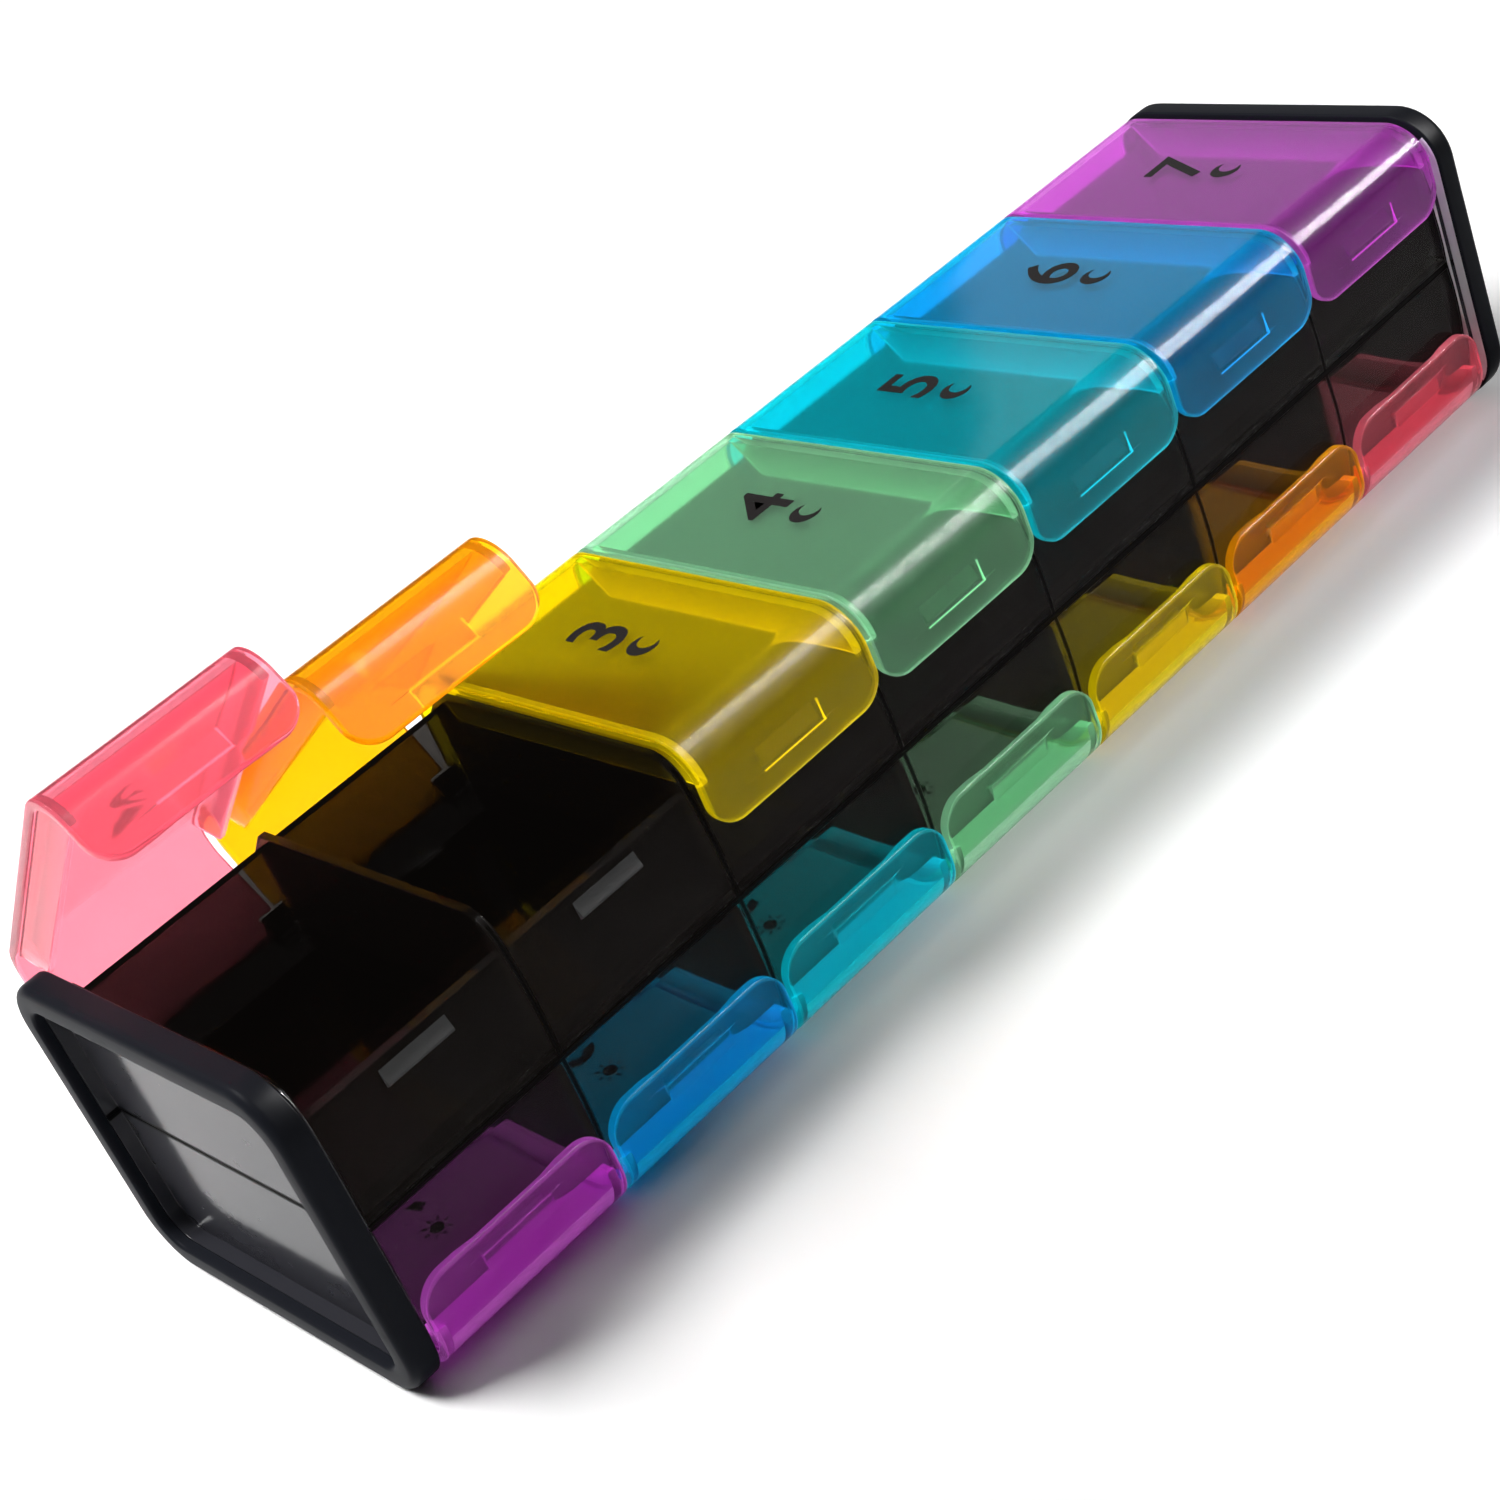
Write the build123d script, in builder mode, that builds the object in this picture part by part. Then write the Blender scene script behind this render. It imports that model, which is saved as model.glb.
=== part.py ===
"""Weekly pill organizer: two seven-bay trays back to back, fourteen snap lids and two end frames.

X runs along the row of days, -Y is the latch side, +Y the hinge side and +Z up. The origin is at the
middle of the row, on the plane that the end frames stand on. The lower half is the upper half turned
half a turn about the Y direction, so both rows of latches face the front.
"""
import os
from math import cos, hypot, radians, sin, sqrt

from build123d import *

# Row of days
days = 7
lid_pitch = 31.5
lid_gap = 0.6

# Lid moulding: its height above the seam between the two halves, then depths below its top
lid_depth = 60.6
lid_height = 23.6
lid_wall = 1.5
bend_radius = 6.5
skirt_depth = 13.7
skirt_corner = 4.5
rib_depth = 6.7
rib_wall = 1.2
rib_inset = 0.6
rib_lean = 40.0

# Hinge: a rod along the lid's back tongue, whose ends turn in the bores of the tray's lugs
hinge_height = 5.0
hinge_gap = 1.5
rod_radius = 1.0
rod_clearance = 0.05
pin_reach = 2.2
lug_width = 5.0
lug_wall = 1.0
lug_chamfer = 1.2
hinge_clearance = 0.5
hinge_side_play = 0.35

# Catch: a nub on the tray's front wall and a pocket in the lid's front skirt
catch_length = 10.4
catch_side_play = 0.4
lip_height = 3.0
lip_relief = 0.5
pocket_height = 2.9
pocket_depth = 0.8
nub_clearance = 0.25
nub_tip_height = 0.8

# Trays
tray_wall = 1.7
partition_wall = 1.2
floor_wall = 1.6
floor_chamfer = 1.2
end_wall = 1.2
collar_length = 2.0
collar_wall = 1.8
back_wall_drop = 2.7
lid_clearance = 0.5
swing_clearance = 0.5

# End frames
frame_proud = 0.6
frame_rest = 0.4
frame_wall = 2.0
frame_gap = 0.7
frame_lip = 1.6
frame_corner = 8.0
frame_fit = 0.1
lip_bevel = 1.2

# Opening angles of the upper lids that stand open
open_angles = {1: 41.5, 2: 34.0}

# Places worked out from the sizes above
row_length = days * lid_pitch
row_start = -row_length / 2
seam = lid_height + frame_rest
front_y = -lid_depth / 2
back_y = lid_depth / 2
hinge_y = back_y - rod_radius
hinge_z = seam + hinge_height
lid_width = lid_pitch - lid_gap
panel_z = seam + lid_height - lid_wall
partition_top = panel_z - lid_clearance
rib_z = seam + lid_height - rib_depth
front_wall_top = rib_z - lid_clearance
back_wall_top = partition_top - back_wall_drop
back_wall_y = hinge_y - rod_radius - hinge_gap
skirt_z = seam + lid_height - skirt_depth
pocket_z = skirt_z + lip_height
bay_width = lid_pitch - partition_wall
inner_bend = bend_radius - lid_wall
# Inside a bend the lid is bevelled along the line that touches the arc concentric with its outside.
inner_bevel = inner_bend * (2 - sqrt(2))
tongue_length = lid_pitch - lug_width - 2 * hinge_side_play
bore_radius = rod_radius + rod_clearance
lug_radius = bore_radius + lug_wall
skirt_low_z = hinge_z + lug_radius + hinge_clearance

frame_depth = lid_depth + 2 * frame_proud
frame_height = 2 * seam
collar_depth = frame_depth - 2 * frame_wall
collar_height = frame_height - 2 * frame_wall
collar_corner = frame_corner - frame_wall
collar_end = row_start - end_wall - collar_length
frame_inner_x = row_start - frame_gap
frame_shoulder_x = collar_end - frame_fit
frame_outer_x = frame_shoulder_x - frame_lip

# The front skirt's free edge swings on this radius, and the tray's front face is struck inside it.
front_face_radius = hypot(hinge_y - front_y - lid_wall, skirt_z - hinge_z) - swing_clearance
nub_radius = hypot(hinge_y - front_y - lid_wall + lip_relief, skirt_z - hinge_z) - nub_clearance
# The ribs' hinge ends are cut clear of the back wall's inner top edge.
rib_swing_radius = hypot(hinge_y - back_wall_y + tray_wall, back_wall_top - hinge_z) + swing_clearance

upper_hinge = Axis((0, hinge_y, hinge_z), (1, 0, 0))
half_turn = Axis((0, 0, seam), (0, 1, 0))


def on_swing(radius, z):
    """Point at height z on the front side of a circle about the upper hinge."""
    return (hinge_y - sqrt(radius**2 - (z - hinge_z) ** 2), z)


def beside_swing(z):
    """Point at height z on the leaning line that touches the circle which clears the back wall."""
    lean = radians(rib_lean)
    return (hinge_y - (rib_swing_radius - (z - hinge_z) * cos(lean)) / sin(lean), z)


# Upper tray: one moulding with seven bays, front wall lower than the partitions
with BuildPart() as pm_tray:
    with BuildSketch(Plane.YZ.offset(row_start)) as tray_section:
        with BuildLine():
            foot = on_swing(front_face_radius, seam)
            brow = on_swing(front_face_radius, partition_top)
            ThreePointArc(foot, on_swing(front_face_radius, (seam + partition_top) / 2), brow)
            Polyline(brow, (back_wall_y, partition_top), (back_wall_y, seam), foot)
        make_face()
        chamfer(tray_section.vertices().group_by(Axis.Y)[-1].sort_by(Axis.X)[-1], length=inner_bend)
        fillet(tray_section.vertices().group_by(Axis.Y)[-1].sort_by(Axis.X)[0], radius=inner_bend)
    extrude(amount=row_length)

    # Bays, open at the top and over the lowered front and back walls
    front_inner = on_swing(front_face_radius, front_wall_top)[0] + tray_wall
    back_inner = back_wall_y - tray_wall
    for day in range(days):
        bay_start = row_start + day * lid_pitch + partition_wall / 2
        with BuildSketch(Plane.YZ.offset(bay_start)) as bay_section:
            with BuildLine():
                Polyline(
                    (front_y, front_wall_top),
                    (front_inner, front_wall_top),
                    (front_inner, seam + floor_wall),
                    (back_inner, seam + floor_wall),
                    (back_inner, back_wall_top),
                    (back_y, back_wall_top),
                    (back_y, panel_z),
                    (front_y, panel_z),
                    close=True,
                )
            make_face()
            chamfer(bay_section.vertices().group_by(Axis.Y)[0], length=floor_chamfer)
        extrude(amount=bay_width, mode=Mode.SUBTRACT)

    # End walls with the collars that the end frames push over
    for wall_start, collar_start in (
        (row_start - end_wall, collar_end),
        (-row_start, -row_start + end_wall),
    ):
        with BuildSketch(Plane.YZ.offset(wall_start)):
            with Locations((0, seam)):
                RectangleRounded(collar_depth, collar_height, collar_corner)
            Rectangle(frame_depth, seam, align=(Align.CENTER, Align.MIN), mode=Mode.SUBTRACT)
        extrude(amount=end_wall)
        with BuildSketch(Plane.YZ.offset(collar_start)):
            with Locations((0, seam)):
                RectangleRounded(collar_depth, collar_height, collar_corner)
                RectangleRounded(
                    collar_depth - 2 * collar_wall,
                    collar_height - 2 * collar_wall,
                    collar_corner - collar_wall,
                    mode=Mode.SUBTRACT,
                )
            Rectangle(frame_depth, seam, align=(Align.CENTER, Align.MIN), mode=Mode.SUBTRACT)
        extrude(amount=collar_length)

    # Hinge lugs behind every partition, half as wide at the row's ends
    for boundary in range(days + 1):
        middle = row_start + boundary * lid_pitch
        lug_start = max(middle - lug_width / 2, row_start)
        lug_end = min(middle + lug_width / 2, -row_start)
        with BuildSketch(Plane.YZ.offset(lug_start)) as lug_section:
            with Locations((hinge_y + lug_radius, hinge_z)):
                lug_reach = hinge_y + lug_radius - back_inner
                Rectangle(lug_reach, 2 * lug_radius, align=(Align.MAX, Align.CENTER))
            chamfer(lug_section.vertices().group_by(Axis.X)[-1], length=lug_chamfer)
        extrude(amount=lug_end - lug_start)
    with BuildSketch(Plane.YZ.offset(row_start)):
        with Locations((hinge_y, hinge_z)):
            Circle(bore_radius)
    extrude(amount=row_length, mode=Mode.SUBTRACT)

    # Catch nubs, sloped on top so that a lid rides over them
    nub_top = pocket_z + pocket_height - lid_clearance
    nub_tip = pocket_z + nub_tip_height
    for day in range(days):
        nub_start = row_start + (day + 0.5) * lid_pitch - catch_length / 2
        with BuildSketch(Plane.YZ.offset(nub_start)):
            with BuildLine():
                Polyline(
                    on_swing(front_face_radius - tray_wall / 2, pocket_z),
                    on_swing(front_face_radius, pocket_z),
                    on_swing(nub_radius, pocket_z + nub_tip_height / 2),
                    on_swing(nub_radius, nub_tip),
                    on_swing(front_face_radius, nub_top),
                    on_swing(front_face_radius - tray_wall / 2, nub_top),
                    close=True,
                )
            make_face()
        extrude(amount=catch_length)

# Closed upper lid at the middle of the row: a channel that wraps over the front and the back
with BuildPart() as lid:
    with BuildSketch(Plane.YZ.offset(-lid_width / 2)):
        with BuildLine():
            outside = FilletPolyline(
                (front_y, skirt_z),
                (front_y, seam + lid_height),
                (back_y, seam + lid_height),
                (back_y, skirt_low_z),
                radius=bend_radius,
            )
            inside = Polyline(
                (back_y - lid_wall, skirt_low_z),
                (back_y - lid_wall, panel_z - inner_bevel),
                (back_y - lid_wall - inner_bevel, panel_z),
                (front_y + lid_wall + inner_bevel, panel_z),
                (front_y + lid_wall, panel_z - inner_bevel),
                (front_y + lid_wall, skirt_z),
            )
            Line(outside @ 1, inside @ 0)
            Line(inside @ 1, outside @ 0)
        make_face()
    extrude(amount=lid_width)
    fillet(lid.edges().filter_by(Axis.Y).group_by(Axis.Y)[0], radius=skirt_corner)

    # Ribs inside both ends, leaning back from the hinge so that they swing over the back wall
    for rib_start in (-lid_width / 2 + rib_inset, lid_width / 2 - rib_inset - rib_wall):
        with BuildSketch(Plane.YZ.offset(rib_start)):
            with BuildLine():
                Polyline(
                    beside_swing(rib_z),
                    beside_swing(panel_z),
                    (front_y + lid_wall + inner_bevel, panel_z),
                    (front_y + lid_wall, panel_z - inner_bevel),
                    (front_y + lid_wall, rib_z),
                    close=True,
                )
            make_face()
        extrude(amount=rib_wall)

    # Hinge tongue between two lugs, with the rod whose ends reach into their bores
    with BuildSketch(Plane.YZ.offset(-tongue_length / 2)):
        with Locations((back_y - lid_wall, hinge_z)):
            Rectangle(lid_wall, skirt_low_z - hinge_z, align=(Align.MIN, Align.MIN))
    extrude(amount=tongue_length)
    with BuildSketch(Plane.YZ.offset(-tongue_length / 2 - pin_reach)):
        with Locations((hinge_y, hinge_z)):
            Circle(rod_radius)
    extrude(amount=tongue_length + 2 * pin_reach)

    # Catch pocket inside the front skirt, above a relieved lip
    skirt_inside = Plane.XZ.offset(-front_y - lid_wall)
    pocket_length = catch_length + 2 * catch_side_play
    for low, height, depth in ((pocket_z, pocket_height, pocket_depth), (skirt_z, lip_height, lip_relief)):
        with BuildSketch(skirt_inside):
            with Locations((0, low)):
                Rectangle(pocket_length, height, align=(Align.CENTER, Align.MIN))
        extrude(amount=depth, mode=Mode.SUBTRACT)

# End frame, pushed over the collars of both trays up to its lip
with BuildPart() as end_frame_left:
    with BuildSketch(Plane.YZ.offset(frame_outer_x)):
        with Locations((0, seam)):
            RectangleRounded(frame_depth, frame_height, frame_corner)
    extrude(amount=frame_inner_x - frame_outer_x)
    with BuildSketch(Plane.YZ.offset(frame_shoulder_x)):
        with Locations((0, seam)):
            RectangleRounded(
                collar_depth + 2 * frame_fit, collar_height + 2 * frame_fit, collar_corner + frame_fit
            )
    extrude(amount=frame_inner_x - frame_shoulder_x, mode=Mode.SUBTRACT)
    with BuildSketch(Plane.YZ.offset(frame_outer_x)):
        with Locations((0, seam)):
            RectangleRounded(
                collar_depth - 2 * collar_wall,
                collar_height - 2 * collar_wall,
                collar_corner - collar_wall,
            )
    extrude(amount=frame_lip, mode=Mode.SUBTRACT)
    chamfer(end_frame_left.faces().sort_by(Axis.X)[0].outer_wire().edges(), length=lip_bevel)

with BuildPart() as end_frame_right:
    mirror(end_frame_left.part, about=Plane.YZ)

with BuildPart() as am_tray:
    add(pm_tray.part.rotate(half_turn, 180))

os.makedirs("parts", exist_ok=True)
for piece, name in (
    (pm_tray, "pm_tray"),
    (am_tray, "am_tray"),
    (end_frame_left, "end_frame_left"),
    (end_frame_right, "end_frame_right"),
):
    piece.part.label = name
    export_step(piece.part, f"parts/{name}.step")

# Lids of both halves, numbered from the left above and, turned over, from the right below
for number in range(1, days + 1):
    place = Location((row_start + (number - 0.5) * lid_pitch, 0, 0))
    closed_lid = lid.part.moved(place)
    with BuildPart() as pm_lid:
        add(closed_lid.rotate(upper_hinge, -open_angles.get(number, 0.0)))
    pm_lid.part.label = f"pm_lid_{number}"
    export_step(pm_lid.part, f"parts/pm_lid_{number}.step")
    with BuildPart() as am_lid:
        add(closed_lid.rotate(half_turn, 180))
    am_lid.part.label = f"am_lid_{number}"
    export_step(am_lid.part, f"parts/am_lid_{number}.step")
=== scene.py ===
import math

import bmesh
import bpy
from mathutils import Matrix, Vector


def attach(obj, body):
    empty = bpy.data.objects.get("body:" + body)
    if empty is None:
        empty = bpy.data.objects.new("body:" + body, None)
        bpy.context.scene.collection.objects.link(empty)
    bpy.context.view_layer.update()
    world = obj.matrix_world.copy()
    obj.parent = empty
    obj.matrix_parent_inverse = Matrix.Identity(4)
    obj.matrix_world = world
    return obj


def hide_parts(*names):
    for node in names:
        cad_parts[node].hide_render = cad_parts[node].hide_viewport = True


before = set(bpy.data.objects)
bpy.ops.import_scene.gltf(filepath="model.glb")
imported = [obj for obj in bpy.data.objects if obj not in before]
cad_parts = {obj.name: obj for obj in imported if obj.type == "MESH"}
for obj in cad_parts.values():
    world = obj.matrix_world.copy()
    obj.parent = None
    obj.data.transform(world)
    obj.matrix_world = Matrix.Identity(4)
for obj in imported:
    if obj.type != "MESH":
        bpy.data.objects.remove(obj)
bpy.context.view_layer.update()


# Compartment trays: two identical seven-bay mouldings, stacked back to back with their floors together.
# Smoky translucent plastic, injection moulded in one piece with the end collars, hinge lugs and catch
# nubs; every edge of the moulding is broken by a small radius.
mm = 0.001
seam_height = 24.0
days, day_pitch = 7, 31.5
hinge_y, hinge_rise = 29.3, 5.0


def node_in(tree, kind, **settings):
    """A new node in a tree, with its properties and its unlinked sockets set."""
    node = tree.nodes.new(kind)
    for name, value in settings.items():
        if hasattr(node, name):
            setattr(node, name, value)
        else:
            node.inputs[name.replace("_", " ")].default_value = value
    return node


def moulded_surface():
    """Group for injection-moulded plastic: flow marks, fine grain and handling scuffs."""
    tree = bpy.data.node_groups.new("moulded_surface", "ShaderNodeTree")
    for name, kind, value in (
        ("Position", "NodeSocketVector", None),
        ("Polish", "NodeSocketFloat", 0.2),
        ("Spread", "NodeSocketFloat", 0.05),
        ("Scuffs", "NodeSocketFloat", 0.1),
        ("Grain", "NodeSocketFloat", 0.0),
    ):
        socket = tree.interface.new_socket(name, in_out="INPUT", socket_type=kind)
        if value is not None:
            socket.default_value = value
    for name in ("Roughness", "Height", "Tone"):
        tree.interface.new_socket(name, in_out="OUTPUT", socket_type="NodeSocketFloat")
    link = tree.links.new
    given = tree.nodes.new("NodeGroupInput")
    result = tree.nodes.new("NodeGroupOutput")
    flow = node_in(tree, "ShaderNodeTexNoise", Scale=55.0, Detail=2.0, Roughness=0.45)
    grain = node_in(tree, "ShaderNodeTexNoise", Scale=1900.0, Detail=2.0, Roughness=0.6)
    stretch = node_in(tree, "ShaderNodeMapping", Scale=(900.0, 90.0, 260.0), Rotation=(0.3, 0.2, 0.5))
    scratch = node_in(tree, "ShaderNodeTexNoise", Scale=1.0, Detail=3.0, Roughness=0.7)
    thin = node_in(tree, "ShaderNodeMapRange", From_Min=0.62, From_Max=0.72)
    link(given.outputs["Position"], flow.inputs["Vector"])
    link(given.outputs["Position"], grain.inputs["Vector"])
    link(given.outputs["Position"], stretch.inputs["Vector"])
    link(stretch.outputs["Vector"], scratch.inputs["Vector"])
    link(scratch.outputs["Fac"], thin.inputs["Value"])
    centred = node_in(tree, "ShaderNodeMath", operation="SUBTRACT")
    centred.inputs[1].default_value = 0.5
    spread = node_in(tree, "ShaderNodeMath", operation="MULTIPLY_ADD")
    worn = node_in(tree, "ShaderNodeMath", operation="MULTIPLY_ADD")
    link(flow.outputs["Fac"], centred.inputs[0])
    link(centred.outputs[0], spread.inputs[0])
    link(given.outputs["Spread"], spread.inputs[1])
    link(given.outputs["Polish"], spread.inputs[2])
    link(thin.outputs["Result"], worn.inputs[0])
    link(given.outputs["Scuffs"], worn.inputs[1])
    link(spread.outputs[0], worn.inputs[2])
    link(worn.outputs[0], result.inputs["Roughness"])
    ripple = node_in(tree, "ShaderNodeMath", operation="MULTIPLY_ADD")
    link(given.outputs["Grain"], ripple.inputs[1])
    link(grain.outputs["Fac"], ripple.inputs[0])
    link(flow.outputs["Fac"], ripple.inputs[2])
    link(ripple.outputs[0], result.inputs["Height"])
    link(flow.outputs["Fac"], result.inputs["Tone"])
    return tree


surface_group = moulded_surface()


def moulded_plastic(name, colour, streak, polish, spread, scuffs, grain, bump, **shader_values):
    """Plastic with flow-marked colour, uneven polish and a faint surface ripple."""
    material = bpy.data.materials.new(name)
    material.use_nodes = True
    tree = material.node_tree
    shader = tree.nodes["Principled BSDF"]
    place = tree.nodes.new("ShaderNodeTexCoord")
    surface = node_in(tree, "ShaderNodeGroup", node_tree=surface_group)
    surface.inputs["Polish"].default_value = polish
    surface.inputs["Spread"].default_value = spread
    surface.inputs["Scuffs"].default_value = scuffs
    surface.inputs["Grain"].default_value = grain
    tint = node_in(tree, "ShaderNodeMix", data_type="RGBA")
    tint.inputs["A"].default_value = (*colour, 1.0)
    tint.inputs["B"].default_value = (*streak, 1.0)
    relief = node_in(tree, "ShaderNodeBump", Strength=bump, Distance=0.0002)
    link = tree.links.new
    link(place.outputs["Object"], surface.inputs["Position"])
    link(surface.outputs["Tone"], tint.inputs["Factor"])
    link(tint.outputs["Result"], shader.inputs["Base Color"])
    link(surface.outputs["Roughness"], shader.inputs["Roughness"])
    link(surface.outputs["Height"], relief.inputs["Height"])
    link(relief.outputs["Normal"], shader.inputs["Normal"])
    for socket, value in shader_values.items():
        shader.inputs[socket.replace("_", " ")].default_value = value
    return material


# The smoke's faint emission stands for the light that its haze scatters
smoky_plastic = moulded_plastic(
    "smoky_plastic", colour=(0.040, 0.037, 0.034), streak=(0.034, 0.031, 0.029),
    polish=0.07, spread=0.03, scuffs=0.02, grain=0.0, bump=0.02,
    Transmission_Weight=0.97, IOR=1.15, Specular_IOR_Level=0.10, Specular_Tint=(0.02, 0.02, 0.02, 1.0),
    Emission_Color=(0.0020, 0.0016, 0.0014, 1.0), Emission_Strength=1.0,
)
polished_end = moulded_plastic(
    "polished_end_wall", colour=(0.030, 0.030, 0.036), streak=(0.024, 0.024, 0.030),
    polish=0.40, spread=0.05, scuffs=0.04, grain=0.0, bump=0.003,
    Specular_IOR_Level=0.02, Coat_Roughness=0.10,
)
# Catch nubs: rough frosted plastic, whose pale opaque grey is a painted highlight for the light their
# sloped tops catch from above
nub_frost_and_painted_highlight = moulded_plastic(
    "nub_frost_and_painted_highlight", colour=(0.085, 0.085, 0.085), streak=(0.062, 0.062, 0.062),
    polish=0.42, spread=0.06, scuffs=0.10, grain=0.3, bump=0.05, Specular_IOR_Level=0.06,
)


# Half widths of the dark joint and sink lines, and of their soft borders
joint_dark, joint_border = 0.45, 0.60
sink_dark, sink_border = 0.22, 0.48


def joint_lines():
    """Group for the open joint between the trays and the sink lines where partitions meet a wall."""
    tree = bpy.data.node_groups.new("joint_lines", "ShaderNodeTree")
    tree.interface.new_socket("Position", in_out="INPUT", socket_type="NodeSocketVector")
    for name in ("Joint", "Sink", "Height"):
        tree.interface.new_socket(name, in_out="OUTPUT", socket_type="NodeSocketFloat")
    link = tree.links.new
    given = tree.nodes.new("NodeGroupInput")
    result = tree.nodes.new("NodeGroupOutput")
    parts = tree.nodes.new("ShaderNodeSeparateXYZ")
    from_seam = node_in(tree, "ShaderNodeMath", operation="SUBTRACT")
    from_seam.inputs[1].default_value = seam_height * mm
    height = node_in(tree, "ShaderNodeMath", operation="ABSOLUTE")
    joint = node_in(tree, "ShaderNodeMapRange", From_Min=joint_border * mm, From_Max=joint_dark * mm)
    from_end = node_in(tree, "ShaderNodeMath", operation="ADD")
    from_end.inputs[1].default_value = days / 2 * day_pitch * mm
    to_partition = node_in(tree, "ShaderNodeMath", operation="PINGPONG")
    to_partition.inputs[1].default_value = 0.5 * day_pitch * mm
    sink = node_in(tree, "ShaderNodeMapRange", From_Min=sink_border * mm, From_Max=sink_dark * mm)
    link(given.outputs["Position"], parts.inputs["Vector"])
    link(parts.outputs["Z"], from_seam.inputs[0])
    link(from_seam.outputs[0], height.inputs[0])
    link(height.outputs[0], joint.inputs["Value"])
    link(parts.outputs["X"], from_end.inputs[0])
    link(from_end.outputs[0], to_partition.inputs[0])
    link(to_partition.outputs[0], sink.inputs["Value"])
    link(joint.outputs["Result"], result.inputs["Joint"])
    link(sink.outputs["Result"], result.inputs["Sink"])
    link(height.outputs[0], result.inputs["Height"])
    return tree


joint_group = joint_lines()


# Where the smoke changes: places across the depth, and heights above or below the seam
front_from, front_to = -24.5, -26.2
back_inside, back_wall = 25.1, 1.7
foot_from, foot_to = 6.0, 7.2
thin_from, thin_to = -2.4, 24.1
back_top, clear_corner, above_back = 18.9, 0.8, 19.1


def smoke_by_wall(material):
    """Clear front walls with dull dark joint lines; back walls dense at the foot and clear at the top."""
    tree = material.node_tree
    link = tree.links.new
    shader = tree.nodes["Principled BSDF"]
    place = tree.nodes["Texture Coordinate"]
    smoke = tree.nodes["Mix"]
    parts = tree.nodes.new("ShaderNodeSeparateXYZ")
    lines = node_in(tree, "ShaderNodeGroup", node_tree=joint_group)
    link(place.outputs["Object"], parts.inputs["Vector"])
    link(place.outputs["Object"], lines.inputs["Position"])
    front = node_in(tree, "ShaderNodeMapRange", From_Min=front_from * mm, From_Max=front_to * mm)
    clear = node_in(tree, "ShaderNodeMix", data_type="RGBA")
    clear.inputs["B"].default_value = (0.16, 0.158, 0.148, 1.0)
    upper = node_in(tree, "ShaderNodeMapRange", From_Min=thin_from * mm, From_Max=thin_to * mm)
    foot = node_in(tree, "ShaderNodeMapRange", From_Min=foot_from * mm, From_Max=foot_to * mm)
    thinned = node_in(tree, "ShaderNodeMath", operation="MULTIPLY")
    dense = node_in(tree, "ShaderNodeMix", data_type="RGBA")
    dense.inputs["A"].default_value = (0.0006, 0.0006, 0.0006, 1.0)
    # Nearness to the outer corner of the back wall's top: 1 at the corner, 0 at the inner edge
    rise = node_in(tree, "ShaderNodeMath", operation="MULTIPLY_ADD")
    rise.inputs[1].default_value = 1.0 / (clear_corner * mm)
    rise.inputs[2].default_value = -back_inside / back_wall - back_top / clear_corner
    corner = node_in(tree, "ShaderNodeMath", operation="MULTIPLY_ADD")
    corner.inputs[1].default_value = 1.0 / (back_wall * mm)
    at_top = node_in(tree, "ShaderNodeMapRange", From_Min=0.25, From_Max=0.40)
    not_above = node_in(
        tree, "ShaderNodeMapRange", From_Min=(above_back + 0.1) * mm, From_Max=above_back * mm,
    )
    below_lid = node_in(tree, "ShaderNodeMath", operation="MULTIPLY")
    edged = node_in(tree, "ShaderNodeMix", data_type="RGBA")
    edged.inputs["B"].default_value = (0.85, 0.82, 0.78, 1.0)
    link(lines.outputs["Height"], rise.inputs[0])
    link(parts.outputs["Y"], corner.inputs[0])
    link(rise.outputs[0], corner.inputs[2])
    link(corner.outputs[0], at_top.inputs["Value"])
    link(lines.outputs["Height"], not_above.inputs["Value"])
    link(at_top.outputs["Result"], below_lid.inputs[0])
    link(not_above.outputs["Result"], below_lid.inputs[1])
    link(below_lid.outputs[0], edged.inputs["Factor"])
    link(dense.outputs["Result"], edged.inputs["A"])
    either = node_in(tree, "ShaderNodeMath", operation="MAXIMUM")
    on_front = node_in(tree, "ShaderNodeMath", operation="MULTIPLY")
    lined = node_in(tree, "ShaderNodeMix", data_type="RGBA")
    lined.inputs["B"].default_value = (0.001, 0.001, 0.001, 1.0)
    link(lines.outputs["Height"], upper.inputs["Value"])
    link(lines.outputs["Height"], foot.inputs["Value"])
    link(upper.outputs["Result"], thinned.inputs[0])
    link(foot.outputs["Result"], thinned.inputs[1])
    link(thinned.outputs[0], dense.inputs["Factor"])
    link(smoke.outputs["Result"], dense.inputs["B"])
    link(parts.outputs["Y"], front.inputs["Value"])
    link(front.outputs["Result"], clear.inputs["Factor"])
    link(edged.outputs["Result"], clear.inputs["A"])
    link(lines.outputs["Joint"], either.inputs[0])
    link(lines.outputs["Sink"], either.inputs[1])
    link(either.outputs[0], on_front.inputs[0])
    link(front.outputs["Result"], on_front.inputs[1])
    link(on_front.outputs[0], lined.inputs["Factor"])
    dull = node_in(tree, "ShaderNodeMath", operation="MAXIMUM")
    link(shader.inputs["Roughness"].links[0].from_socket, dull.inputs[0])
    link(on_front.outputs[0], dull.inputs[1])
    link(dull.outputs[0], shader.inputs["Roughness"])
    link(clear.outputs["Result"], lined.inputs["A"])
    link(lined.outputs["Result"], shader.inputs["Base Color"])


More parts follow.
